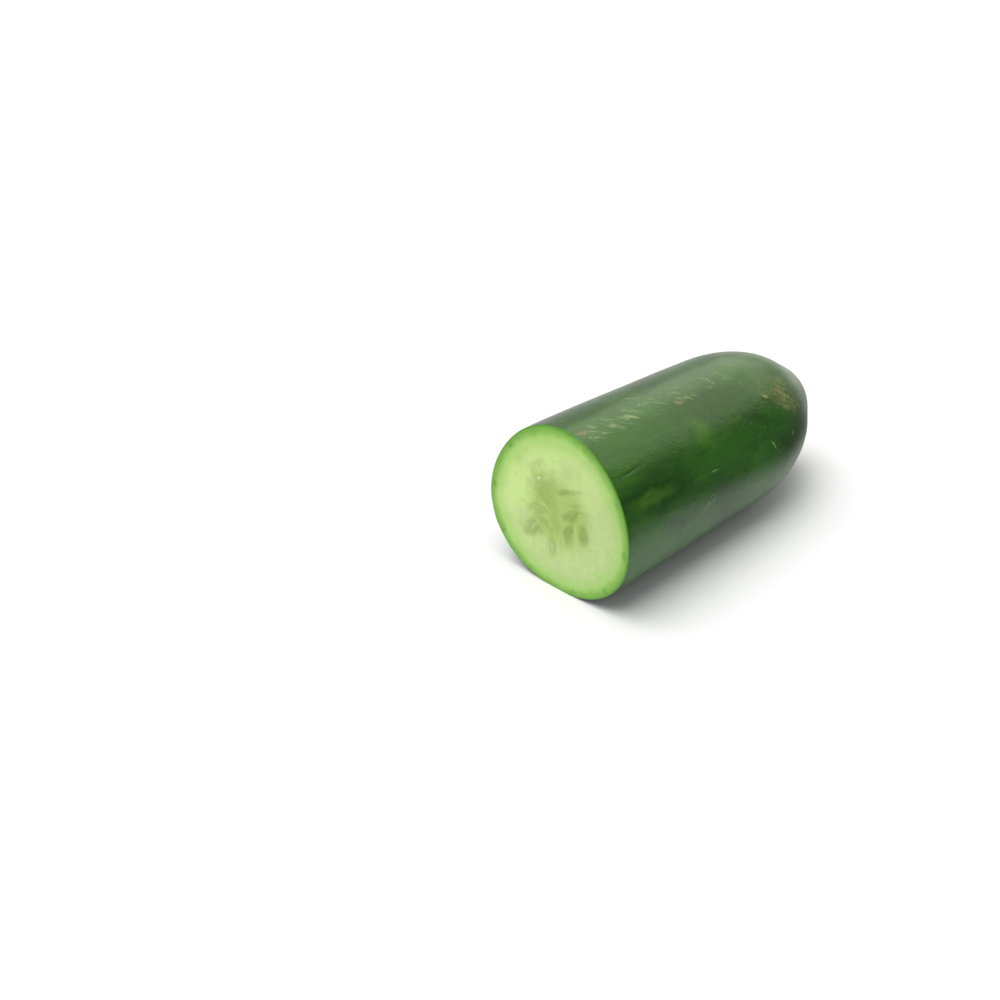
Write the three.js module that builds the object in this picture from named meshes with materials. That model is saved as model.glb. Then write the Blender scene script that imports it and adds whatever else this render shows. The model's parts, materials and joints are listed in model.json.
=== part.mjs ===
import * as THREE from 'three';

// The cut half of a slicing cucumber, lying on its underside. Millimetres, +Z up.
// +X runs along the fruit, from the knife cut towards the blossom end.
// The origin is under the middle of the piece, on the surface it lies on.

// Driving dimensions
const bodyLength = 104.6;                       // cut to the end of the dome, without the nub
const cutRadius = 25;                           // mean radius at the cut
const tipTaper = 2.25;                          // how much thinner the fruit grows towards its tip
const domeLength = 37.7;                        // rounded blossom end
const domeFullness = 2.12;                      // 2 is an ellipse, more is blunter
const nubHeight = 3.25;                         // low boss at the blossom tip
const nubRadius = 12.2;
const lobeHeight = 0.78;                        // three rounded corners round the section
const ovalHeight = 0.3;                         // the section is slightly taller than wide
const lobeAngle = THREE.MathUtils.degToRad(95); // first corner, measured from +Y towards +Z
const cutSlant = 0.033;                         // the knife came down slightly askew: mm per mm of width
const restDepth = 0.5;                          // how far the underside is pressed flat where it lies

// How finely the surface is divided
const segmentsAround = 64;
const cutFaceRings = 5;
const bodyRings = 22;
const domeRings = 16;

// Mean radius of the tapering body at a distance from the cut.
function taperRadius(along) {
  return cutRadius - tipTaper * Math.pow(along / bodyLength, 1.5);
}

// How much a point of the section stands out of its mean circle, at full radius.
function sectionHeight(angle) {
  const turned = angle - lobeAngle;
  return lobeHeight * Math.cos(3 * turned) + ovalHeight * Math.cos(2 * turned);
}

// Distance from the axis down to the lowest point of the section at the cut.
function undersideDepth() {
  let depth = 0;
  for (let step = 0; step < 720; step++) {
    const angle = step * Math.PI / 360;
    depth = Math.max(depth, -(cutRadius + sectionHeight(angle)) * Math.sin(angle));
  }
  return depth;
}

// Outline from the middle of the cut face, over its rim and along the body, to the blossom tip.
function outline() {
  const points = [];
  for (let i = 0; i < cutFaceRings; i++) {
    points.push(new THREE.Vector2(cutRadius * i / cutFaceRings, 0));
  }
  const shoulder = bodyLength - domeLength;
  for (let i = 0; i < bodyRings; i++) {
    const along = shoulder * i / bodyRings;
    points.push(new THREE.Vector2(taperRadius(along), along));
  }
  for (let i = 0; i <= domeRings; i++) {
    const turn = Math.PI / 2 * i / domeRings;
    const along = shoulder + domeLength * Math.sin(turn);
    const closing = i < domeRings ? Math.pow(Math.cos(turn), 2 / domeFullness) : 0;
    const radius = taperRadius(along) * closing;
    const nub = nubHeight * Math.exp(-Math.pow(radius / nubRadius, 4));
    points.push(new THREE.Vector2(radius, along + nub));
  }
  return points;
}

// Turns the round lathed body into the lobed one: lays it along +X, adds the corners of the
// section, lowers the axis so that the underside lies level, and slants the cut.
function shapeVertex(vertex, axisShare) {
  const along = vertex.y;
  const radius = Math.hypot(vertex.x, vertex.z);
  const angle = Math.atan2(vertex.x, vertex.z);
  const full = taperRadius(along);
  const share = radius / full;
  const lobed = radius + share * share * sectionHeight(angle) * full / cutRadius;
  const y = lobed * Math.cos(angle);
  const z = Math.max(axisShare * full - restDepth + lobed * Math.sin(angle), 0);
  const slant = cutSlant * (1 - along / bodyLength);
  vertex.set(along - slant * y, y, z);
}

function cucumberGeometry() {
  const geometry = new THREE.LatheGeometry(outline(), segmentsAround);
  const position = geometry.getAttribute('position');
  const axisShare = undersideDepth() / cutRadius;
  const vertex = new THREE.Vector3();
  for (let i = 0; i < position.count; i++) {
    vertex.fromBufferAttribute(position, i);
    shapeVertex(vertex, axisShare);
    position.setXYZ(i, vertex.x, vertex.y, vertex.z);
  }
  geometry.computeBoundingBox();
  const middle = geometry.boundingBox.getCenter(new THREE.Vector3());
  geometry.translate(-middle.x, -middle.y, 0);
  geometry.computeVertexNormals();
  return geometry;
}

const skin = new THREE.MeshStandardMaterial({ color: 0x2f5a1e, roughness: 0.35, metalness: 0 });
const cucumber = new THREE.Mesh(cucumberGeometry(), skin);
cucumber.name = 'cucumber';

const model = new THREE.Group();
model.add(cucumber);

export default model;
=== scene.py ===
import json
import math
from types import SimpleNamespace

import bmesh
import bpy
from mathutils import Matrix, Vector, noise


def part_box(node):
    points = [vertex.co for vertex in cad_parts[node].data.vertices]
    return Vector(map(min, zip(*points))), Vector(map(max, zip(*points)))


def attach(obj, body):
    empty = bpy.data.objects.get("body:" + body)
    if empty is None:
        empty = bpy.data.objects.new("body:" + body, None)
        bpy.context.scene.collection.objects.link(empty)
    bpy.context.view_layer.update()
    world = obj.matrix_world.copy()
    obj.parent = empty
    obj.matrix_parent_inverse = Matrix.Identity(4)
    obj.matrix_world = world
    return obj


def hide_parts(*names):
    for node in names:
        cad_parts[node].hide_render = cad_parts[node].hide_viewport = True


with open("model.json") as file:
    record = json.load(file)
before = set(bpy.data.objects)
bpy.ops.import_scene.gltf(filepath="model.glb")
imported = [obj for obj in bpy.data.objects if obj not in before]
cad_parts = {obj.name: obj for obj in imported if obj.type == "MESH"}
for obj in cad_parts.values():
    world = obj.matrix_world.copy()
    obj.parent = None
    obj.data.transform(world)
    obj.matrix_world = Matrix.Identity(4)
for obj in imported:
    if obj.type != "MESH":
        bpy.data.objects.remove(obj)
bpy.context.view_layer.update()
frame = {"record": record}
low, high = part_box("cucumber")
cutMount = next(mount for mount in frame["record"]["mounts"] if mount["name"] == "cut_face")
cutNormal = Vector(cutMount["axis"])             # points out of the fruit
cutSlant = cutNormal.y / cutNormal.x
mm = 0.001
print("frame loaded, half is", round((high.x - low.x) / mm, 1), "mm long")


# the camera looks down on the cut end from the left

camera = dict(
    azimuth=-44.16,
    elevation=31.51,
    target=(-32.3 * mm, 44.0 * mm),              # on the surface, from the middle of the half
    distance=372.3 * mm,
    lens=42.957,
)


def makeCamera():
    turn = math.radians(camera["azimuth"])
    rise = math.radians(camera["elevation"])
    back = Vector((math.sin(turn) * math.cos(rise), -math.cos(turn) * math.cos(rise), math.sin(rise)))
    middle = (low + high) / 2
    target = Vector((middle.x + camera["target"][0], middle.y + camera["target"][1], low.z))
    data = bpy.data.cameras.new("camera")
    data.lens = camera["lens"]
    data.clip_start = 0.01
    made = bpy.data.objects.new("camera", data)
    made.location = target + back * camera["distance"]
    made.rotation_euler = (-back).to_track_quat("-Z", "Y").to_euler()
    bpy.context.scene.collection.objects.link(made)
    bpy.context.scene.camera = made


makeCamera()


# node outputs that are added, multiplied and mixed like numbers

class Wire:                                      # a node's output: arithmetic on it adds Math nodes
    def __init__(self, tree, socket=None):
        self.tree = tree
        self.socket = socket

    def fill(self, node, inputs):
        for name, value in inputs.items():
            if isinstance(value, Wire):
                self.tree.links.new(value.socket, node.inputs[name])
            else:
                node.inputs[name].default_value = value

    def node(self, kind, settings={}, inputs={}, out=0):
        made = self.tree.nodes.new("ShaderNode" + kind)
        for name, value in settings.items():     # settings first, because they can change the sockets
            setattr(made, name, value)
        self.fill(made, inputs)
        return Wire(self.tree, made.outputs[out])

    def reckon(self, operation, first, second=0.0):
        return self.node("Math", {"operation": operation}, {0: first, 1: second})

    def __add__(self, other):
        return self.reckon("ADD", self, other)

    def __radd__(self, other):
        return self.reckon("ADD", other, self)

    def __sub__(self, other):
        return self.reckon("SUBTRACT", self, other)

    def __rsub__(self, other):
        return self.reckon("SUBTRACT", other, self)

    def __mul__(self, other):
        return self.reckon("MULTIPLY", self, other)

    def __rmul__(self, other):
        return self.reckon("MULTIPLY", other, self)

    def __truediv__(self, other):
        return self.reckon("DIVIDE", self, other)

    def __pow__(self, other):
        return self.reckon("POWER", self, other)

    def __abs__(self):
        return self.reckon("ABSOLUTE", self)

    def mix(self, first, second, amount):        # colours, by the amount of the second
        return self.node("Mix", {"data_type": "RGBA"}, {0: amount, 6: first, 7: second}, out=2)

    def stretched(self, scale):                  # the same place, measured differently on each axis
        return self.node("Mapping", {}, {"Vector": self, "Scale": scale})

    def grain(self, scale, detail=2.0, roughness=0.5, warp=0.0):
        return self.node("TexNoise", {}, {
            "Vector": self,
            "Scale": scale,
            "Detail": detail,
            "Roughness": roughness,
            "Distortion": warp,
        })


def ease(value, start, end):                     # 0 at start, 1 at end, smooth between, for numbers and wires
    if isinstance(value, Wire):
        inputs = {"Value": value, "From Min": start, "From Max": end}
        return value.node("MapRange", {"interpolation_type": "SMOOTHSTEP"}, inputs)
    share = min(max((value - start) / (end - start), 0.0), 1.0)
    return share * share * (3 - 2 * share)


def tint(red, green, blue):                      # a screen colour, 0 to 255, as a linear one
    parts = [channel / 255 for channel in (red, green, blue)]
    linear = [part / 12.92 if part < 0.04045 else ((part + 0.055) / 1.055) ** 2.4 for part in parts]
    return (*linear, 1.0)


def newMaterial(name):
    made = bpy.data.materials.new(name)
    made.use_nodes = True
    return made, Wire(made.node_tree), made.node_tree.nodes["Principled BSDF"]


# a pale surface in a softly lit room

studio = dict(
    floorColor=(0.92, 0.92, 0.92, 1.0),
    floorRoughness=0.9,
    floorReach=1.2,
    mirrorMiddle=(-0.02, 0.0, 0.0),              # the skin mirrors the floor round this place as it is,
    mirrorReach=(0.05, 0.12),                    # and past this reach as if it had these two tints
    shadeTint=(0.06, 0.06, 0.06, 1.0),           # on the -Y side
    roomTint=(0.6, 0.6, 0.6, 1.0),               # on the +Y side
    tintTurn=(-0.05, 0.06),                      # along Y, where one tint gives way to the other
    shadeRadiance=0.1,                           # the room as the skin mirrors it, on the -Y side
    roomRadiance=0.62,                           # and on the +Y side
    roomTurn=(-0.05, 0.6),                       # the Y of a direction, where one gives way to the other
    fillRadiance=0.42,                           # the room as it lights the fruit
    backdropRadiance=1.2,                        # the room as it is seen behind the floor
    panels=[                                     # turn from +X to +Y and rise above the surface, in degrees
        dict(
            name="softBox", turn=156, rise=73, distance=6.0, size=(5.5, 4.7),
            radiance=4.3, color=(1, 1, 1), lights=True,
        ),
        dict(                                    # gives the top of the skin its sheen, and lights nothing
            name="backPanel", turn=3, rise=42, distance=9.0, size=(11.4, 9.0),
            radiance=1.36, color=(1, 1, 0.88), lights=False,
        ),
    ],
)


def makePanel(panel):
    turn = math.radians(panel["turn"])
    rise = math.radians(panel["rise"])
    out = Vector((math.cos(turn) * math.cos(rise), math.sin(turn) * math.cos(rise), math.sin(rise)))
    light = bpy.data.lights.new(panel["name"], "AREA")
    light.shape = "RECTANGLE"
    light.size, light.size_y = panel["size"]
    light.energy = panel["radiance"] * math.pi * panel["size"][0] * panel["size"][1]
    light.color = panel["color"]
    made = bpy.data.objects.new(panel["name"], light)
    made.location = out * panel["distance"]
    made.rotation_euler = out.to_track_quat("Z", "Y").to_euler()
    made.visible_camera = False
    made.visible_diffuse = panel["lights"]
    bpy.context.scene.collection.objects.link(made)


def makeFloor():
    paint, start, shader = newMaterial("floorPaint")
    place = start.node("TexCoord", out="Object")
    ends = {0: place, 1: studio["mirrorMiddle"]}
    away = start.node("VectorMath", {"operation": "DISTANCE"}, ends, out="Value")
    toLeft = ease(start.node("SeparateXYZ", {}, {0: place}, out="Y"), *studio["tintTurn"])
    mirrored = start.node("LightPath", out="Is Glossy Ray") * ease(away, *studio["mirrorReach"])
    farTint = start.mix(studio["shadeTint"], studio["roomTint"], toLeft)
    color = start.mix(studio["floorColor"], farTint, mirrored)
    start.fill(shader, {"Base Color": color, "Roughness": studio["floorRoughness"]})

    disc = bmesh.new()
    bmesh.ops.create_circle(disc, segments=96, radius=studio["floorReach"], cap_ends=True)
    bmesh.ops.translate(disc, verts=disc.verts, vec=(0, 0, low.z))
    mesh = bpy.data.meshes.new("floor")
    disc.to_mesh(mesh)
    disc.free()
    made = bpy.data.objects.new("floor", mesh)
    made.data.materials.append(paint)
    bpy.context.scene.collection.objects.link(made)


def makeStudio():
    makeFloor()
    for panel in studio["panels"]:
        makePanel(panel)

    world = bpy.data.worlds.new("room")          # a light side and a shaded side, seen white behind the floor
    world.use_nodes = True
    start = Wire(world.node_tree)
    look = start.node("TexCoord", out="Generated")
    toLeft = ease(start.node("SeparateXYZ", {}, {0: look}, out="Y"), *studio["roomTurn"])
    room = studio["shadeRadiance"] + toLeft * (studio["roomRadiance"] - studio["shadeRadiance"])
    seen = start.node("LightPath", out="Is Camera Ray")
    mirrored = start.node("LightPath", out="Is Glossy Ray")
    strength = mirrored * (room - studio["fillRadiance"]) + studio["fillRadiance"]
    strength = strength + seen * (studio["backdropRadiance"] - studio["fillRadiance"])
    start.fill(world.node_tree.nodes["Background"], {"Color": (1, 1, 1, 1), "Strength": strength})
    bpy.context.scene.world = world
    bpy.context.scene.view_settings.view_transform = "Standard"


makeStudio()
print("camera, surface and light are in place")


# the fruit is spun from its outline, then pushed into its lobes, flat underside and slanted cut

half = dict(
    cutRadius=25.0 * mm,
    tipTaper=2.25 * mm,                          # how much thinner the fruit is towards the tip
    taperBend=1.5,                               # 1 tapers evenly, more tapers late
    domeLength=37.7 * mm,
    domeFullness=2.25,                           # 2 is an ellipse, more is blunter
    nubLength=3.25 * mm,                         # how far the blunt end stands out of the dome, as in the CAD
    nubHeight=3.7 * mm,
    nubRadius=11.6 * mm,
    nubSharpness=5,
    nubRise=2.4 * mm,                            # the blunt end sits a little above the axis
    lobeHeight=0.78 * mm,                        # three rounded sides
    ovalHeight=0.3 * mm,
    lobeTurn=math.radians(95),
    restDepth=0.5 * mm,                          # how far the underside is flattened by lying
    edgeRound=0.3 * mm,                          # the cut edge of the skin
    fleshEnd=0.27 * mm,                          # flesh shows up to here, over most of that edge
    stepsAround=360,
    coreRings=52,                                # rings of faces on the cut, inside and outside the seeds
    coreReach=13.0 * mm,
    outerRings=24,
    edgeRings=4,
    bodyRings=115,
    domeRings=68,
)
bodyLength = (high.x - low.x) - half["nubLength"] - cutSlant * high.y
shoulder = bodyLength - half["domeLength"]


def taperRadius(along):
    return half["cutRadius"] - half["tipTaper"] * max(along / bodyLength, 0.0) ** half["taperBend"]


def sectionHeight(angle):
    lobes = half["lobeHeight"] * math.cos(3 * (angle - half["lobeTurn"]))
    return lobes + half["ovalHeight"] * math.cos(2 * (angle - half["lobeTurn"]))


def undersideDepth():
    angles = [math.radians(step) for step in range(360)]
    return max(-(half["cutRadius"] + sectionHeight(angle)) * math.sin(angle) for angle in angles)


axisShare = undersideDepth() / half["cutRadius"]


def outline():                                   # (along, radius) from the middle of the cut to the tip
    inner = half["coreReach"]
    flatEnd = half["cutRadius"] - half["edgeRound"]
    points = [(0.0, inner * step / half["coreRings"]) for step in range(half["coreRings"])]
    for step in range(half["outerRings"] + 1):
        points.append((0.0, inner + (flatEnd - inner) * step / half["outerRings"]))
    for step in range(1, half["edgeRings"] + 1):
        turn = math.pi / 2 * step / half["edgeRings"]
        along = half["edgeRound"] * (1 - math.cos(turn))
        points.append((along, flatEnd + half["edgeRound"] * math.sin(turn)))
    for step in range(1, half["bodyRings"]):
        along = half["edgeRound"] + (shoulder - half["edgeRound"]) * step / half["bodyRings"]
        points.append((along, taperRadius(along)))
    for step in range(half["domeRings"] + 1):
        turn = math.pi / 2 * step / half["domeRings"]
        along = shoulder + half["domeLength"] * math.sin(turn)
        radius = taperRadius(along) * max(math.cos(turn), 0.0) ** (2 / half["domeFullness"])
        points.append((along, radius))
    points[-1] = (points[-1][0], 0.0)
    return points


def spinBody():
    body = bmesh.new()
    ring = [body.verts.new((along, radius, 0.0)) for along, radius in outline()]
    for first, second in zip(ring, ring[1:]):
        body.edges.new((first, second))
    bmesh.ops.spin(
        body, geom=body.verts[:] + body.edges[:], cent=(0, 0, 0), axis=(1, 0, 0),
        angle=2 * math.pi, steps=half["stepsAround"], use_merge=True,
    )
    bmesh.ops.remove_doubles(body, verts=body.verts, dist=0.001 * mm)
    bmesh.ops.recalc_face_normals(body, faces=body.faces)
    return body


def shapeBody(body):                             # lobes, flat underside, slanted cut, then its place
    acrossLayer = body.verts.layers.float.new("across")
    for vertex in body.verts:
        along = vertex.co.x
        radius = math.hypot(vertex.co.y, vertex.co.z)
        angle = math.atan2(vertex.co.z, vertex.co.y)
        full = taperRadius(along)
        share = radius / full
        lobed = radius + share * share * sectionHeight(angle) * full / half["cutRadius"]
        across = lobed * math.cos(angle)
        if along > shoulder:
            away = math.hypot(across, lobed * math.sin(angle) - half["nubRise"])
            along += half["nubHeight"] * math.exp(-((away / half["nubRadius"]) ** half["nubSharpness"]))
        up = max(axisShare * full - half["restDepth"] + lobed * math.sin(angle), 0.0)
        slant = cutSlant * (1 - along / bodyLength)
        vertex[acrossLayer] = share
        vertex.co = (along - slant * across, across, up)
    spanX = [vertex.co.x for vertex in body.verts]
    spanY = [vertex.co.y for vertex in body.verts]
    shiftX = (low.x + high.x - min(spanX) - max(spanX)) / 2
    shiftY = (low.y + high.y - min(spanY) - max(spanY)) / 2
    bmesh.ops.translate(body, verts=body.verts, vec=(shiftX, shiftY, 0))
    return Vector((shiftX, shiftY, axisShare * half["cutRadius"] - half["restDepth"]))


def rough(place, wave, seed=0.0):                # smooth noise from -1 to 1 with one wave length
    return noise.noise(place / wave + Vector((seed, seed, seed)))


# what the cut shows: places are sideways (to +Y) and up from its middle, in mm; turn is in degrees

core = dict(
    reach=12.2 * mm,
    margin=4.0 * mm,                             # how far past that reach a mark may wander
    pocketDepth=0.14 * mm,
    pocketSoftness=0.6,
    seedHeight=0.16 * mm,
    seedSoftness=0.4,
    webHeight=0.05 * mm,
    bend=0.7,                                    # in mm, how far the marks are pushed about
    bendLength=4.0 * mm,
    raggedness=0.4,                              # of the edges of the marks, coarse and fine
    raggedLength=2.2 * mm,
    fineRaggedness=0.25,
    fineRaggedLength=0.9 * mm,
    waveHeight=0.035 * mm,
    waveLength=5 * mm,
    grainHeight=0.012 * mm,
    grainLength=1.2 * mm,
    pockets=[                                    # sideways, up, turn, half length, half width, strength
        (5.2, 6.4, 73, 6.6, 4.0, 0.6),
        (3.6, 2.6, 60, 4.6, 3.0, 0.5),
        (-3.0, 7.9, 158, 3.8, 0.9, 0.8),
        (-5.2, 1.6, 140, 3.4, 1.9, 1.0),
        (-5.6, 4.6, 150, 3.0, 0.7, 0.5),
        (-9.2, -2.9, 98, 3.0, 1.8, 1.0),
        (-3.9, -4.2, 107, 4.2, 1.7, 1.0),
        (0.6, -2.8, 82, 3.6, 1.7, 0.5),
        (6.4, -0.8, 168, 4.2, 1.4, 0.6),
        (5.0, -4.4, 205, 3.8, 1.3, 0.6),
        (8.4, -8.0, 128, 3.6, 2.3, 0.8),
        (1.6, -10.2, 84, 3.6, 1.2, 0.6),
    ],
    seedsAndGlints=[                                      # sideways, up, turn, half length, half width, strength
        # the first two are tiny pale dots of painted highlight, the glints of droplets
        (7.0, 8.9, 150, 0.5, 0.35, 0.9),
        (6.2, 6.2, 140, 0.35, 0.3, 0.7),
        (-5.6, 3.0, 146, 1.9, 0.4, 0.15),
        (-2.6, -7.4, 102, 1.5, 0.25, 0.5),
        (7.2, -1.0, 168, 2.0, 0.4, 0.25),
        (8.0, -7.2, 128, 2.0, 0.6, 0.25),
        (1.7, -11.2, 84, 1.9, 0.35, 0.4),
    ],
    webs=[                                       # from sideways, up, to sideways, up, half width, strength
        (9.6, 4.4, 2.8, -0.2, 0.24, 0.6),
        (8.0, 1.6, 4.6, -1.6, 0.18, 0.35),
        (0.2, 9.4, -7.4, 8.9, 0.35, 0.7),
        (0.9, 6.6, -1.4, 5.2, 0.25, 0.5),
        (-3.0, 3.4, -10.4, 5.2, 0.3, 0.7),
        (-7.0, 2.6, -11.4, 3.4, 0.22, 0.45),
        (-6.4, -1.4, -6.9, -7.6, 0.4, 0.5),
        (-1.7, -1.0, -1.9, -7.4, 0.25, 0.3),
        (-2.2, -6.2, -1.6, -9.6, 0.18, 0.8),
        (1.0, 3.6, 3.2, 8.2, 0.3, 0.25),
        (3.6, 0.6, 9.8, 1.4, 0.4, 0.4),
        (4.2, -2.4, 9.6, -4.4, 0.3, 0.4),
        (2.2, -4.4, 4.6, -9.6, 0.3, 0.35),
    ],
)


def pocketShare(places, sideways, up, soft, warp):   # how much of a pocket or a seed is at a place, 0 to 1
    share = 0.0
    for centerSide, centerUp, turn, length, width, strength in places:
        turned = math.radians(turn)
        ahead = (sideways - centerSide) * math.cos(turned) + (up - centerUp) * math.sin(turned)
        beside = (up - centerUp) * math.cos(turned) - (sideways - centerSide) * math.sin(turned)
        reach = math.hypot(ahead / length, beside / width) + warp
        share = max(share, strength * ease(reach, 1 + soft, 1 - soft))
    return share


def webShare(sideways, up, warp):
    share = 0.0
    for fromSide, fromUp, toSide, toUp, width, strength in core["webs"]:
        runSide = toSide - fromSide
        runUp = toUp - fromUp
        along = ((sideways - fromSide) * runSide + (up - fromUp) * runUp) / (runSide ** 2 + runUp ** 2)
        along = min(max(along, 0.0), 1.0)
        away = math.hypot(sideways - fromSide - along * runSide, up - fromUp - along * runUp)
        share = max(share, strength * ease(away / width + warp, 1.6, 0.2))
    return share


def carveCut(body, middle):                      # seed pockets, seed marks with two painted glints, and webs, as relief and as attributes
    layers = {name: body.verts.layers.float.new(name) for name in ("gel", "seed", "web")}
    flesh = {vertex for face in body.faces if face.material_index == 1 for vertex in face.verts}
    edge = {vertex for face in body.faces if face.material_index == 0 for vertex in face.verts}
    for vertex in flesh - edge:
        place = vertex.co
        sideways = (place.y - middle.y) / mm
        up = (place.z - middle.z) / mm
        gel = seed = web = 0.0
        if math.hypot(sideways, up) * mm < core["reach"] + core["margin"]:
            sideways += core["bend"] * rough(place, core["bendLength"], 41.0)
            up += core["bend"] * rough(place, core["bendLength"], 43.0)
            warp = core["raggedness"] * rough(place, core["raggedLength"])
            warp += core["fineRaggedness"] * rough(place, core["fineRaggedLength"], 7.0)
            gel = pocketShare(core["pockets"], sideways, up, core["pocketSoftness"], warp)
            seed = pocketShare(core["seedsAndGlints"], sideways, up, core["seedSoftness"], warp * 0.4)
            web = webShare(sideways, up, 1.2 * warp)
        vertex[layers["gel"]] = gel
        vertex[layers["seed"]] = seed
        vertex[layers["web"]] = web
        rise = seed * core["seedHeight"] - gel * core["pocketDepth"] + web * core["webHeight"]
        rise += core["waveHeight"] * rough(place, core["waveLength"], 3.0)
        rise += core["grainHeight"] * rough(place, core["grainLength"], 5.0)
        vertex.co += cutNormal * rise


# what the skin shows: along from the cut, turn in degrees from the top towards -Y

skin = dict(
    waveHeight=0.14 * mm,
    waveLength=15 * mm,
    bumpHeight=0.03 * mm,
    bumpLength=3.2 * mm,
    grainHeight=0.014 * mm,
    grainLength=1.1 * mm,
    stretch=0.45,                                # less than 1 draws the waves out lengthwise
    fadeIn=(0.2 * mm, 3.0 * mm),                 # the waves start behind the cut
    creaseDepth=0.14 * mm,
    scarHeight=0.16 * mm,
    scabHeight=0.22 * mm,
    scabGrain=1.4 * mm,
    creases=[                                    # also painted as thin dark lines of shade along their grooves
        dict(along=8 * mm, turn=45, length=8.5 * mm, width=0.5 * mm, tilt=-3),
        dict(along=52 * mm, turn=-62, length=12 * mm, width=0.6 * mm, tilt=4),
    ],
    ringScar=dict(along=36 * mm, turn=89, length=1.8 * mm, width=0.85 * mm, tilt=-28),
    hookScar=dict(along=67 * mm, turn=78.5, length=1.9 * mm, width=0.28 * mm, tilt=58, bend=90),
    scab=dict(along=78.5 * mm, turn=47, length=10.0 * mm, width=6.0 * mm, tilt=33),
    scabLine=dict(along=79 * mm, turn=48, length=6.2 * mm, width=0.2 * mm, tilt=37),
    scabStart=dict(along=69.6 * mm, turn=43.5, length=2.6 * mm, width=0.75 * mm, tilt=30),
    tanSpots=[
        dict(along=3.4 * mm, turn=11, length=3.0 * mm, width=1.3 * mm, tilt=12),
        dict(along=38 * mm, turn=20, length=2.4 * mm, width=1.3 * mm, tilt=25),
    ],
    paleSpots=[
        dict(along=78 * mm, turn=79, length=1.1 * mm, width=0.35 * mm, tilt=80),
        dict(along=38.5 * mm, turn=72, length=1.9 * mm, width=0.3 * mm, tilt=5),
        dict(along=42.5 * mm, turn=20, length=2.0 * mm, width=0.35 * mm, tilt=48),
        dict(along=27 * mm, turn=1, length=2.6 * mm, width=0.35 * mm, tilt=30),
        dict(along=6 * mm, turn=13, length=1.8 * mm, width=0.4 * mm, tilt=32),
    ],
    scratched=[                                  # fields of short pale scratches
        dict(along=61 * mm, turn=58, length=9 * mm, width=6 * mm, tilt=0),
        dict(along=43 * mm, turn=36, length=9 * mm, width=5 * mm, tilt=0),
        dict(along=66 * mm, turn=30, length=8 * mm, width=4 * mm, tilt=0),
        dict(along=46 * mm, turn=-80, length=12 * mm, width=7 * mm, tilt=0),
    ],
    brightPatches=[
        dict(along=39 * mm, turn=44, length=4.2 * mm, width=6.0 * mm, tilt=0),
        dict(along=12 * mm, turn=66, length=10 * mm, width=2.6 * mm, tilt=4),
        dict(along=58 * mm, turn=-48, length=9 * mm, width=4.0 * mm, tilt=-6),
        dict(along=24 * mm, turn=-104, length=12 * mm, width=5.0 * mm, tilt=3),
    ],
    ridgeTurn=14,                                # the pale line along the top, in degrees
    ridgeWidth=7,
    ridgeEnd=(78 * mm, 55 * mm),                 # it fades out between these two
    litTopTurn=18,                                  # the top around it, painted paler as painted light from above, in degrees
    tipReach=(84 * mm, 112 * mm),                # the paler tip, its own paler skin and painted sheen on its upper side
    corkStart=(95 * mm, 100 * mm),
    corkReach=(3.4 * mm, 1.4 * mm),              # from the axis
    corkRim=2.6 * mm,
)


def reachOf(spot, at):                           # 0 in the middle of a mark, 1 at its edge
    ahead = at.along - spot["along"]
    over = (at.turn - math.radians(spot["turn"])) * at.radius
    cosine = math.cos(math.radians(spot["tilt"]))
    sine = math.sin(math.radians(spot["tilt"]))
    lengthways = ahead * cosine + over * sine
    sideways = over * cosine - ahead * sine
    sideways = sideways - spot.get("bend", 0) * lengthways * lengthways
    lengthways = lengthways / spot["length"]
    sideways = sideways / spot["width"]
    return (lengthways * lengthways + sideways * sideways) ** 0.5


def roughenSkin(body, middle):
    skinOnly = {vertex for face in body.faces if face.material_index == 0 for vertex in face.verts}
    body.normal_update()
    moves = {}
    for vertex in skinOnly:
        place = vertex.co
        at = SimpleNamespace(
            along=place.x - middle.x,
            turn=math.atan2(middle.y - place.y, place.z - middle.z),
            radius=math.hypot(place.y - middle.y, place.z - middle.z),
        )
        fade = ease(at.along, *skin["fadeIn"])
        streaked = Vector((place.x * skin["stretch"], place.y, place.z))
        rise = skin["waveHeight"] * rough(streaked, skin["waveLength"]) * fade
        rise += skin["bumpHeight"] * rough(streaked, skin["bumpLength"], 11.0) * fade
        rise += skin["grainHeight"] * rough(place, skin["grainLength"], 23.0) * fade
        for crease in skin["creases"]:
            rise -= skin["creaseDepth"] * ease(reachOf(crease, at), 1.0, 0.0)
        ring = abs(reachOf(skin["ringScar"], at) - 1)
        rise += skin["scarHeight"] * 0.5 * ease(ring, 0.55, 0.05)
        rise += skin["scarHeight"] * ease(reachOf(skin["scabStart"], at), 1.3, 0.3)
        scab = ease(reachOf(skin["scab"], at), 1.0, 0.4)
        rise += skin["scabHeight"] * scab * rough(place, skin["scabGrain"], 31.0)
        moves[vertex] = vertex.normal * rise
    for vertex, move in moves.items():
        vertex.co += move
        vertex.co.z = max(vertex.co.z, low.z)


def makeHalf():
    body = spinBody()
    for face in body.faces:
        face.smooth = True
        face.material_index = int(max(vertex.co.x for vertex in face.verts) < half["fleshEnd"])
    middle = shapeBody(body)
    print("half spun and shaped,", len(body.faces), "faces")
    carveCut(body, middle)
    roughenSkin(body, middle)
    mesh = bpy.data.meshes.new("cucumberHalf")
    body.to_mesh(mesh)
    body.free()
    made = bpy.data.objects.new("cucumberHalf", mesh)
    bpy.context.scene.collection.objects.link(made)
    return made, middle


cucumber, cutMiddle = makeHalf()
print("cut carved and skin roughened")


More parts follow.
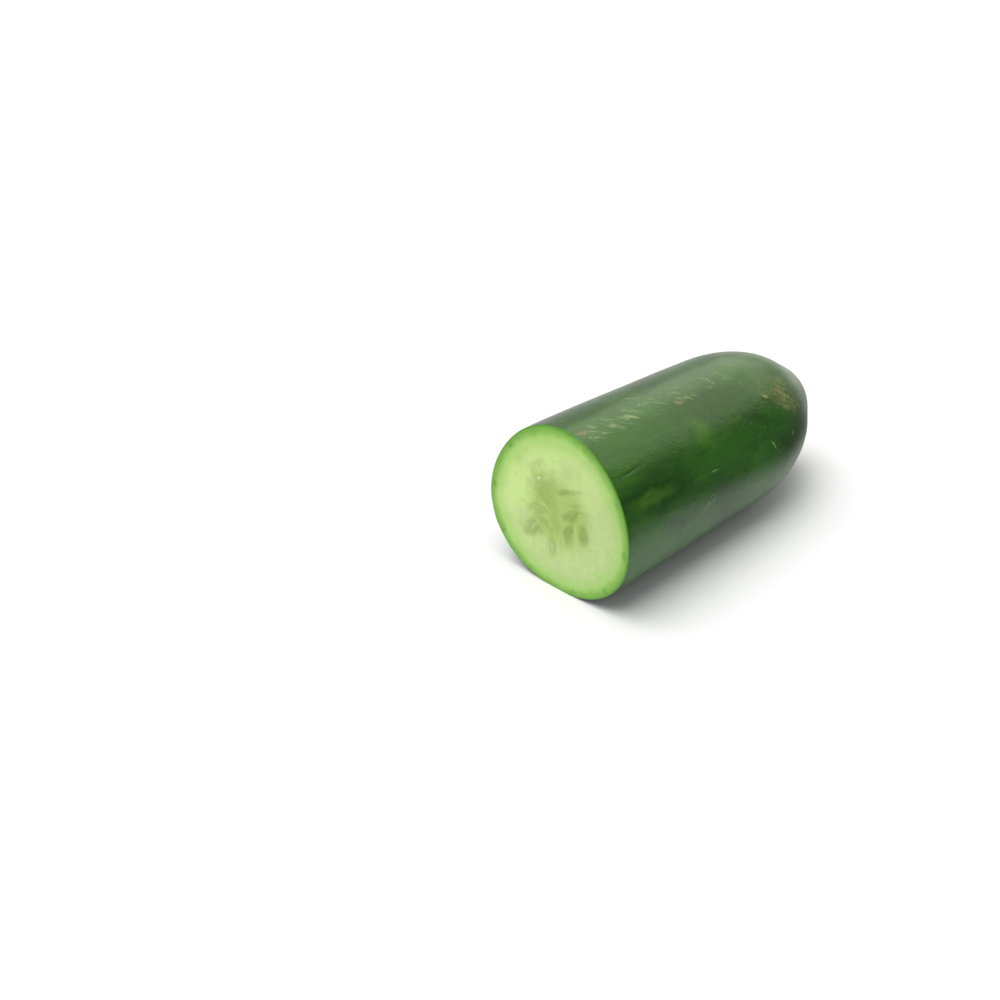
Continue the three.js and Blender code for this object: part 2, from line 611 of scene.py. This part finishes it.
skinLook = dict(
    deep=tint(27, 63, 18),
    middle=tint(46, 94, 27),
    bright=tint(78, 124, 30),
    # painted light: the paler green of the top, where the light from above falls
    top=tint(88, 128, 52),
    ridge=tint(110, 138, 82),
    dash=tint(166, 182, 124),
    tan=tint(164, 134, 102),
    straw=tint(172, 174, 108),
    scab=tint(66, 68, 30),
    scar=tint(134, 160, 100),
    # the blossom end's own paler skin, also used as painted sheen on the top of the tip
    tip=tint(146, 170, 120),
    cork=tint(138, 122, 84),
    litTopAmount=0.22,                              # how strongly each of these covers the greens, up to 1
    mottleAmount=0.3,
    patchAmount=0.5,
    veinAmount=0.2,
    ridgeAmount=0.18,
    dashAmount=0.7,
    tipPaleAndSheenAmount=0.4,
    tipLineAmount=0.35,
    corkAmount=0.85,
    corkRimAmount=0.45,
    nickAmount=0.6,
    scarAmount=0.55,
    tanAmount=0.6,
    creaseShadeAmount=0.8,
    scabAmount=0.85,
    strawAmount=0.7,
    toneWaves=60,                                # how many waves of each pattern go into a metre
    mottleWaves=210,
    patchyWaves=260,
    fineWaves=1500,
    veinWaves=1000,
    ridgeWaves=70,
    ridgeEdgeWaves=380,
    corkWaves=480,
    speckWaves=900,
    streakWaves=700,
    strokeSlant=(0.85, 0.53),                    # cosine and sine of the way that strokes lie
    strokeWaves=(190, 760),                      # along them and across them, in a metre
    crossSlant=(0.6, -0.8),
    crossWaves=(420, 1900),
    scratchSlant=(0.79, 0.61),
    scratchWaves=(230, 1700),
    specular=0.37,
    roughness=0.16,
    pebbleSize=0.62 * mm,
    pebbleHeight=0.12 * mm,
)


def slanted(start, at, slant, waves):            # places for a pattern that is drawn out along a slant
    lengthways = at.along * slant[0] + at.arc * slant[1]
    sideways = at.arc * slant[0] - at.along * slant[1]
    return start.node("CombineXYZ", {}, {0: lengthways * waves[0], 1: sideways * waves[1], 2: 0.0})


def skinPlaces(start, middle):                   # where a point of the skin is, and patterns to share
    at = SimpleNamespace(position=start.node("TexCoord", out="Object"))
    x, y, z = [start.node("SeparateXYZ", {}, {0: at.position}, out=axis) for axis in "XYZ"]
    at.along = x - middle.x
    at.side = middle.y - y
    at.rise = z - middle.z
    at.turn = start.reckon("ARCTAN2", at.side, at.rise)      # 0 on top, more towards -Y
    at.radius = (at.side * at.side + at.rise * at.rise) ** 0.5
    at.arc = at.turn * at.radius
    at.streaked = at.position.stretched((0.5, 1.0, 1.0))
    at.fine = at.position.grain(skinLook["fineWaves"], 3.0, 0.7)
    at.patchy = at.position.grain(skinLook["patchyWaves"], 4.0, 0.7)
    at.crossing = slanted(start, at, skinLook["crossSlant"], skinLook["crossWaves"])
    return at


def shareOf(spots, at, ragged, outer, inner):    # how much of any of these marks is at a place
    share = 0.0
    for spot in spots:
        share = ease(reachOf(spot, at) + ragged, outer, inner) + share
    return share


def paintGreens(start, at):                      # broad tones, a top painted paler as painted light, mottles, bright patches, faint veins
    tone = ease(at.streaked.grain(skinLook["toneWaves"], 4.0, 0.58), 0.36, 0.66)
    color = start.mix(skinLook["deep"], skinLook["middle"], tone)
    # painted light: the skin round the top is painted paler, as if lit from above
    fromLitTop = abs(at.turn - math.radians(skin["litTopTurn"])) + (at.patchy - 0.5) * 0.3
    color = start.mix(color, skinLook["top"], ease(fromLitTop, 0.75, 0.4) * skinLook["litTopAmount"])
    mottle = ease(at.streaked.grain(skinLook["mottleWaves"], 5.0, 0.68), 0.5, 0.76)
    color = start.mix(color, skinLook["bright"], mottle * skinLook["mottleAmount"])
    for patch in skin["brightPatches"]:
        share = ease(reachOf(patch, at) + at.patchy * 1.4, 1.9, 0.9)
        color = start.mix(color, skinLook["bright"], share * skinLook["patchAmount"])
    veins = at.position.stretched((0.1, 1.0, 1.0)).grain(skinLook["veinWaves"], 2.0)
    return start.mix(color, skinLook["deep"], ease(veins, 0.5, 0.7) * skinLook["veinAmount"])


def paintRidge(start, at, color):                # the pale line along the top, in slanting strokes
    wander = (at.position.grain(skinLook["ridgeWaves"], 2.0) - 0.5) * 0.9
    away = abs(at.turn / math.radians(skin["ridgeWidth"]) - skin["ridgeTurn"] / skin["ridgeWidth"] + wander)
    ends = ease(at.along, *skin["ridgeEnd"])
    ragged = at.position.grain(skinLook["ridgeEdgeWaves"], 4.0, 0.7) * 1.4
    band = ease(away + ragged, 1.9, 0.6) * ends
    color = start.mix(color, skinLook["ridge"], band * skinLook["ridgeAmount"])
    stroke = slanted(start, at, skinLook["strokeSlant"], skinLook["strokeWaves"]).grain(1.0, 5.0, 0.62, 0.5)
    dashes = ease(stroke, 0.48, 0.72) * ease(away, 1.5, 0.3) * ease(at.patchy, 0.38, 0.6) * ends
    return start.mix(color, skinLook["dash"], dashes * skinLook["dashAmount"]), dashes


def paintTip(start, at, color):                  # lighter lines that run in to the tip, a paler tip with painted sheen on its upper side, and its corky scar
    fanned = start.node("CombineXYZ", {}, {0: at.side / at.radius, 1: at.rise / at.radius, 2: at.along * 22})
    lines = ease(fanned.grain(7.0, 4.0, 0.6), 0.4, 0.7)
    # paler towards the tip and sooner on its upper side, where this is painted sheen
    tipPaleAndSheen = ease(at.along + at.rise * 0.6, *skin["tipReach"])
    shown = (lines * skinLook["tipLineAmount"] + skinLook["tipPaleAndSheenAmount"]) * tipPaleAndSheen
    color = start.mix(color, skinLook["tip"], shown)
    away = at.radius + (at.position.grain(skinLook["corkWaves"], 5.0, 0.7) - 0.5) * 4.0 * mm
    atEnd = ease(at.along, *skin["corkStart"])
    cork = ease(away, *skin["corkReach"]) * atEnd
    rim = ease(abs(away - skin["corkRim"]), 1.0 * mm, 0.1 * mm) * atEnd
    corkColor = start.mix(skinLook["cork"], skinLook["straw"], at.fine)
    color = start.mix(color, corkColor, cork * skinLook["corkAmount"])
    return start.mix(color, skinLook["scab"], rim * skinLook["corkRimAmount"]), cork, rim


def paintMarks(start, at, color):                # marks from growing and handling, and painted shade along the creases
    marks = shareOf(skin["paleSpots"], at, at.fine * 0.9, 1.7, 0.7)
    broken = at.fine * 0.7 + at.patchy * 0.9
    marks = ease(abs(reachOf(skin["ringScar"], at) - 1) + broken, 1.0, 0.5) + marks
    marks = ease(reachOf(skin["hookScar"], at), 1.2, 0.5) * 1.3 + marks
    nicks = ease(at.crossing.grain(1.0, 2.0, 0.5, 0.6), 0.6, 0.72)
    fields = shareOf(skin["scratched"], at, at.patchy * 1.3, 1.7, 0.9)
    marks = nicks * fields * skinLook["nickAmount"] + marks
    color = start.mix(color, skinLook["scar"], marks * skinLook["scarAmount"])
    tans = shareOf(skin["tanSpots"], at, (at.fine + at.patchy) * 1.1, 2.0, 0.9)
    color = start.mix(color, skinLook["tan"], tans * skinLook["tanAmount"])
    # painted shade: the creases are drawn dark along their grooves
    creaseShade = shareOf(skin["creases"], at, at.fine * 0.5, 1.1, 0.4)
    return start.mix(color, skinLook["deep"], creaseShade * skinLook["creaseShadeAmount"]), marks, tans


def paintScab(start, at, color):                 # dark specks and fine straw lines near the blossom end
    scab = ease(reachOf(skin["scab"], at) + at.patchy * 1.3, 1.75, 0.95)
    specks = ease(at.position.grain(skinLook["speckWaves"], 3.0, 0.6), 0.47, 0.57)
    specks = specks * ease(at.patchy, 0.32, 0.52)
    color = start.mix(color, skinLook["scab"], scab * specks * skinLook["scabAmount"])
    scratching = slanted(start, at, skinLook["scratchSlant"], skinLook["scratchWaves"])
    scratches = scratching.grain(1.0, 4.0, 0.7, 0.3)
    crossed = at.crossing.grain(1.0, 4.0, 0.7, 0.5)
    straws = ease(abs(scratches - 0.54), 0.03, 0.006) + ease(abs(crossed - 0.54), 0.03, 0.006) * 0.8
    straws = scab * straws
    color = start.mix(color, skinLook["straw"], straws * skinLook["strawAmount"])
    strokes = ease(reachOf(skin["scabLine"], at) + at.fine * 0.4, 1.5, 0.5)
    ragged = (at.fine + at.patchy) * 0.9
    strokes = strokes + ease(reachOf(skin["scabStart"], at) + ragged, 1.8, 0.8)
    return start.mix(color, skinLook["straw"], strokes * skinLook["strawAmount"]), scab, straws, strokes


def makeSkin(middle):
    made, start, shader = newMaterial("cucumberSkin")
    at = skinPlaces(start, middle)
    color = paintGreens(start, at)
    color, dashes = paintRidge(start, at, color)
    color, cork, corkRim = paintTip(start, at, color)
    color, marks, tans = paintMarks(start, at, color)
    color, scab, straws, strokes = paintScab(start, at, color)

    # wax: fine pebbles under a soft gloss
    pebble = at.position.grain(1 / skinLook["pebbleSize"], 2.0, 0.6)
    streak = at.streaked.grain(skinLook["streakWaves"], 3.0, 0.55)
    height = pebble + streak * 0.12 + (dashes + strokes + straws * 0.5 + marks * 0.3 - corkRim) * 0.5
    bump = start.node("Bump", {}, {"Strength": 0.8, "Distance": skinLook["pebbleHeight"], "Height": height})
    roughness = skinLook["roughness"] + at.patchy * 0.08 + (scab + cork + tans) * 0.25
    start.fill(shader, {
        "Base Color": color,
        "Roughness": roughness,
        "Normal": bump,
        "Specular IOR Level": skinLook["specular"],
    })
    return made


fleshLook = dict(
    pale=tint(190, 212, 140),
    lime=tint(206, 234, 144),
    core=tint(166, 193, 92),
    halo=tint(204, 223, 154),
    gel=tint(126, 158, 56),
    web=tint(200, 219, 140),
    seed=tint(228, 238, 196),
    green=tint(158, 208, 94),
    rim=tint(110, 172, 44),
    rimEdge=tint(64, 124, 20),
    bundle=tint(72, 136, 30),
    fibreAmount=0.6,                             # how strongly each of these covers the flesh, up to 1
    rayAmount=0.35,
    coreAmount=0.75,
    webAmount=0.6,
    seedAndGlintAmount=0.7,
    greenAmount=0.8,
    rimAmount=0.9,
    edgeAmount=0.8,
    bundleAmount=0.6,
    cloudWaves=110,                              # how many waves of each pattern go into a metre
    coreEdgeWaves=170,
    smearWaves=420,
    gritWaves=1700,
    bundles=10,
    bundleTurn=4,                                # degrees from +Y to the first one
    bundlePlace=0.935,                           # of the way from the middle to the skin
    bundleSize=(1.3 * mm, 1.1 * mm),             # around and inwards
    roughness=0.3,
    gritHeight=0.05 * mm,
    glow=0.4,
    glowDepth=3.0 * mm,
)


def makeFlesh(middle):
    made, start, shader = newMaterial("cucumberFlesh")
    position = start.node("TexCoord", out="Object")
    y, z = [start.node("SeparateXYZ", {}, {0: position}, out=axis) for axis in "YZ"]
    side = y - middle.y
    rise = z - middle.z
    radius = (side * side + rise * rise) ** 0.5
    angle = start.reckon("ARCTAN2", rise, side)
    across, gel, seed, web = [
        start.node("Attribute", {"attribute_name": name}, {}, out="Fac")
        for name in ("across", "gel", "seed", "web")
    ]

    # flesh: cloudy, with painted light towards the upper +Y side and faint fibres that run out from the
    # middle
    # painted light: the tone leans to the brighter lime towards the upper +Y side
    cloudAndLitSide = ease(position.grain(fleshLook["cloudWaves"], 5.0, 0.6) + (side + rise) * 10, 0.36, 0.76)
    color = start.mix(fleshLook["pale"], fleshLook["lime"], cloudAndLitSide)
    spoke = start.node("CombineXYZ", {}, {0: radius * 90, 1: side / radius, 2: rise / radius})
    fibre = spoke.grain(8.0, 4.0, 0.62, 0.3)
    fibreShare = ease(across, 0.28, 0.5) * ease(across, 0.95, 0.75)
    fibres = ease(fibre, 0.44, 0.7) * fibreShare
    color = start.mix(color, fleshLook["halo"], fibres * fleshLook["fibreAmount"])
    rays = spoke.grain(3.2, 3.0, 0.55, 0.3)
    color = start.mix(color, fleshLook["green"], ease(rays, 0.5, 0.72) * fibreShare * fleshLook["rayAmount"])

    # the seed core with its pockets, seed marks, two painted glints of droplets and thin webs
    wander = position.grain(fleshLook["coreEdgeWaves"], 4.0) * 5.5 * mm
    inside = ease(radius + wander, core["reach"] + 4.0 * mm, core["reach"] - 2.5 * mm)
    color = start.mix(color, fleshLook["core"], inside * fleshLook["coreAmount"])
    smear = position.stretched((1.0, 1.0, 0.45)).grain(fleshLook["smearWaves"], 4.0, 0.6)
    color = start.mix(color, fleshLook["gel"], gel * (0.4 + smear * 0.6))
    color = start.mix(color, fleshLook["web"], web * fleshLook["webAmount"])
    # pale seeds, and two tiny dots of painted highlight
    color = start.mix(color, fleshLook["seed"], seed * fleshLook["seedAndGlintAmount"])

    # greener outwards, with a ring of veins just inside the skin
    broad = (position.grain(70, 3.0) - 0.5) * 0.22
    uneven = across + (position.grain(300, 4.0, 0.65) - 0.5) * 0.07
    greener = ease(uneven + broad, 0.66, 0.96)
    color = start.mix(color, fleshLook["green"], greener * fleshLook["greenAmount"])
    nearSkin = ease(uneven + broad * 0.4, 0.86, 0.98)
    color = start.mix(color, fleshLook["rim"], nearSkin * fleshLook["rimAmount"])
    color = start.mix(color, fleshLook["rimEdge"], ease(across, 0.965, 1.0) * fleshLook["edgeAmount"])
    phase = angle * (fleshLook["bundles"] / math.tau) - fleshLook["bundleTurn"] * fleshLook["bundles"] / 360
    phase = phase + (position.grain(55) - 0.5) * 1.2
    cell = start.reckon("FRACT", phase + 10.5) - 0.5     # 0 in the middle of each vein, 10 keeps it positive
    beside = cell * (math.tau / fleshLook["bundles"]) * radius / fleshLook["bundleSize"][0]
    inward = (across - fleshLook["bundlePlace"]) * half["cutRadius"] / fleshLook["bundleSize"][1]
    vein = ease((beside * beside + inward * inward) ** 0.5 + position.grain(700, 4.0, 0.7) * 1.8, 2.2, 0.7)
    vein = vein * ease(position.grain(90), 0.4, 0.6)
    color = start.mix(color, fleshLook["bundle"], vein * fleshLook["bundleAmount"])

    # wet surface
    grit = position.grain(fleshLook["gritWaves"], 3.0, 0.6)
    height = grit * 0.5 + fibre * fibreShare * 0.4 + vein * 0.6 - gel * 0.3
    bump = start.node("Bump", {}, {"Strength": 0.6, "Distance": fleshLook["gritHeight"], "Height": height})
    roughness = fleshLook["roughness"] + grit * 0.12 - gel * 0.12 - seed * 0.12
    start.fill(shader, {
        "Base Color": color,
        "Roughness": roughness,
        "Normal": bump,
        "Subsurface Weight": fleshLook["glow"],
        "Subsurface Radius": (0.8, 1.0, 0.35),
        "Subsurface Scale": fleshLook["glowDepth"],
    })
    return made


cucumber.data.materials.append(makeSkin(cutMiddle))
cucumber.data.materials.append(makeFlesh(cutMiddle))
print("skin and flesh painted")

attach(cucumber, "root")
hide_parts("cucumber")
